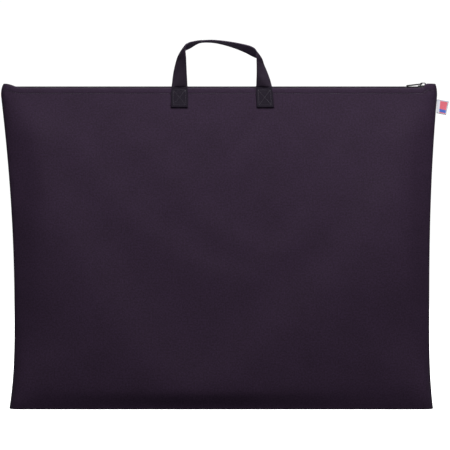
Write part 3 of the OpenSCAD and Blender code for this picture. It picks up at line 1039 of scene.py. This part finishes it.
def coil_core(side, middle, half):
    """The cord inside a row of coil, with the sewn edge of the tape. It closes the gaps between turns."""
    xs = np.linspace(COIL_LEFT + 0.5, COIL_RIGHT - 0.5, 160)
    centre = np.interp(xs, np.linspace(COIL_LEFT, COIL_RIGHT, len(middle)), middle)
    wide = np.interp(xs, np.linspace(COIL_LEFT, COIL_RIGHT, len(half)), half)
    half_high, count = 1.3, 12
    rings, places = [], []
    for x, y, w in zip(xs, centre, wide):
        rings.append([[x, y + w * math.cos(a), COIL_MID + half_high * math.sin(a)] for a in circle(count)])
        places.append([[k * 0.4, x] for k in range(count)])
    word = FACE[side]
    obj = sweep(word + "_coil_core", at_side(rings, side), places, "zip_tape_cloth")
    bend_with_wall(obj)


def rounded_node(node, material, width, segments):
    """Gives a CAD node its material and a bevel of the given width."""
    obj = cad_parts[node]
    obj.data.materials.clear()
    obj.data.materials.append(bpy.data.materials[material])
    rounding = obj.modifiers.new("rounding", "BEVEL")
    rounding.width = width * MM
    rounding.segments = segments
    return obj, rounding


def metal_piece(node, width):
    """A CAD node in lacquered metal, with soft edges and crisp faces."""
    obj, rounding = rounded_node(node, "black_metal", width, segments=3)
    rounding.limit_method = "ANGLE"
    rounding.angle_limit = math.radians(35)
    obj.data.shade_smooth()
    crisp = obj.modifiers.new("crisp", "WEIGHTED_NORMAL")
    crisp.keep_sharp = True


# -------------------------------- label

def label():
    """Folded woven label in the right seam: two layers, a round fold at the free end, a soft curl."""
    x0 = float(edge(1, LABEL_Z)) + 0.4
    length = LABEL_W - LABEL_CUT
    layer = 0.4
    tilt = math.radians(-LABEL_TILT)
    flat = np.linspace(0, length - layer, 26)
    turn = np.radians([60, 30, 0, -30, -60])
    outline = [(s, layer * 0.98) for s in flat]
    outline += [(length - layer + layer * math.cos(a), layer * math.sin(a)) for a in turn]
    outline += [(s, -layer * 0.98) for s in flat[::-1]]
    rings, places = [], []
    for up in np.linspace(-LABEL_H / 2, LABEL_H / 2, 23):
        ring, place = [], []
        for s, b in outline:
            curl = 0.9 * (s / length) ** 2 * math.sin(up / LABEL_H * 2.2 + 0.4)
            x = x0 + s * math.cos(tilt) - up * math.sin(tilt) * (s / length + 0.15)
            z = LABEL_Z + s * math.sin(tilt) + up * math.cos(tilt)
            ring.append([x, b + curl, z])
            place.append([s, up])
        rings.append(ring)
        places.append(place)
    obj = sweep("woven_label", rings, places, "label_satin")
    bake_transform(obj)
    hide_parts("side_label")


# -------------------------------- stage, light and camera

def make_stage():
    """A pale floor, wide enough that its edge stays out of sight. It looks white, with a faint shadow
    under the case, and throws little light back up."""
    bpy.ops.mesh.primitive_plane_add(size=60, location=(0, 0, 0))
    floor = bpy.context.object
    floor.name = "floor"
    material = bpy.data.materials.new("pale_floor")
    material.use_nodes = True
    tree = material.node_tree
    tree.nodes.clear()
    path = add(tree, "ShaderNodeLightPath")
    glow = add(tree, "ShaderNodeEmission", {"Color": (1, 1, 1, 1), "Strength": 0.92})
    matt = add(tree, "ShaderNodeBsdfDiffuse", {"Color": (0.9, 0.9, 0.9, 1)})
    seen = add(tree, "ShaderNodeAddShader", {0: glow.outputs[0], 1: matt.outputs[0]})
    bounce = add(tree, "ShaderNodeBsdfDiffuse", {"Color": (0.15, 0.15, 0.16, 1)})
    both = {0: path.outputs["Is Camera Ray"], 1: bounce.outputs[0], 2: seen.outputs[0]}
    mix = add(tree, "ShaderNodeMixShader", both)
    add(tree, "ShaderNodeOutputMaterial", {"Surface": mix.outputs[0]})
    floor.data.materials.append(material)


def make_world(seen, lit):
    """A white room: seen is how bright it looks, lit how strongly it lights the case."""
    world = bpy.data.worlds.new("studio")
    world.use_nodes = True
    bpy.context.scene.world = world
    tree = world.node_tree
    background = tree.nodes["Background"]
    path = add(tree, "ShaderNodeLightPath")
    strength = add(tree, "ShaderNodeMapRange", {0: path.outputs["Is Camera Ray"], 3: lit, 4: seen})
    set_shader(tree, background, Strength=strength.outputs[0], Color=(1, 1, 1, 1))


def area_light(name, place, target, size, power):
    """A rectangular lamp at place, turned to target; size is its width and height."""
    data = bpy.data.lights.new(name, "AREA")
    data.shape = "RECTANGLE"
    data.size, data.size_y = size
    data.energy = power
    lamp = bpy.data.objects.new(name, data)
    bpy.context.scene.collection.objects.link(lamp)
    lamp.location = place
    lamp.rotation_euler = (Vector(target) - Vector(place)).to_track_quat("-Z", "Y").to_euler()


def make_camera():
    """A long lens level with the middle of the case, straight in front of it. seen_width is how much
    it sees at the front of the case's foot."""
    distance = 2.45
    seen_width = 0.7109
    middle = (0.005, 0, 0.2916)
    data = bpy.data.cameras.new("camera")
    data.sensor_width = 36
    data.lens = data.sensor_width * (distance - FOOT_HALF * MM) / seen_width
    camera = bpy.data.objects.new("camera", data)
    camera.location = (middle[0], -distance, middle[2])
    camera.rotation_euler = (math.radians(90), 0, 0)
    bpy.context.scene.collection.objects.link(camera)
    bpy.context.scene.camera = camera


def make_lights():
    """Soft light from above, a weak fill from the camera's side, and a lamp for the back."""
    make_world(seen=1.05, lit=0.14)
    area_light("overhead", (0.2, -0.85, 1.6), (0, 0, 0.45), (1.3, 0.7), power=37)
    area_light("front", (0.6, -3.0, 1.2), (0, 0, 0.3), (1.6, 1.6), power=4)
    area_light("rear", (-0.4, 2.2, 1.9), (0, 0, 0.3), (1.6, 1.2), power=60)
    bpy.context.scene.view_settings.view_transform = "Standard"


# -------------------------------- the whole case

make_camera()
make_lights()
make_stage()
make_materials()
for side in (-1, 1):
    panel(side)
    topstitch(side)
    anchor_stitches(side)
    backing_patches(side)
    zip_tape(side)
    zip_coil(side)
    handle(side)
    for leg in (-1, 1):
        anchor(side, leg)
    seam_binding(side)
bottom_cloth()
rounded_node("base_board", "plastic_board", 0.5, segments=2)
label()
metal_piece("slider_body", 0.3)
metal_piece("pull_tab", 0.25)
metal_piece("zipper_bottom_stop", 0.35)
metal_piece("zipper_top_stops", 0.3)
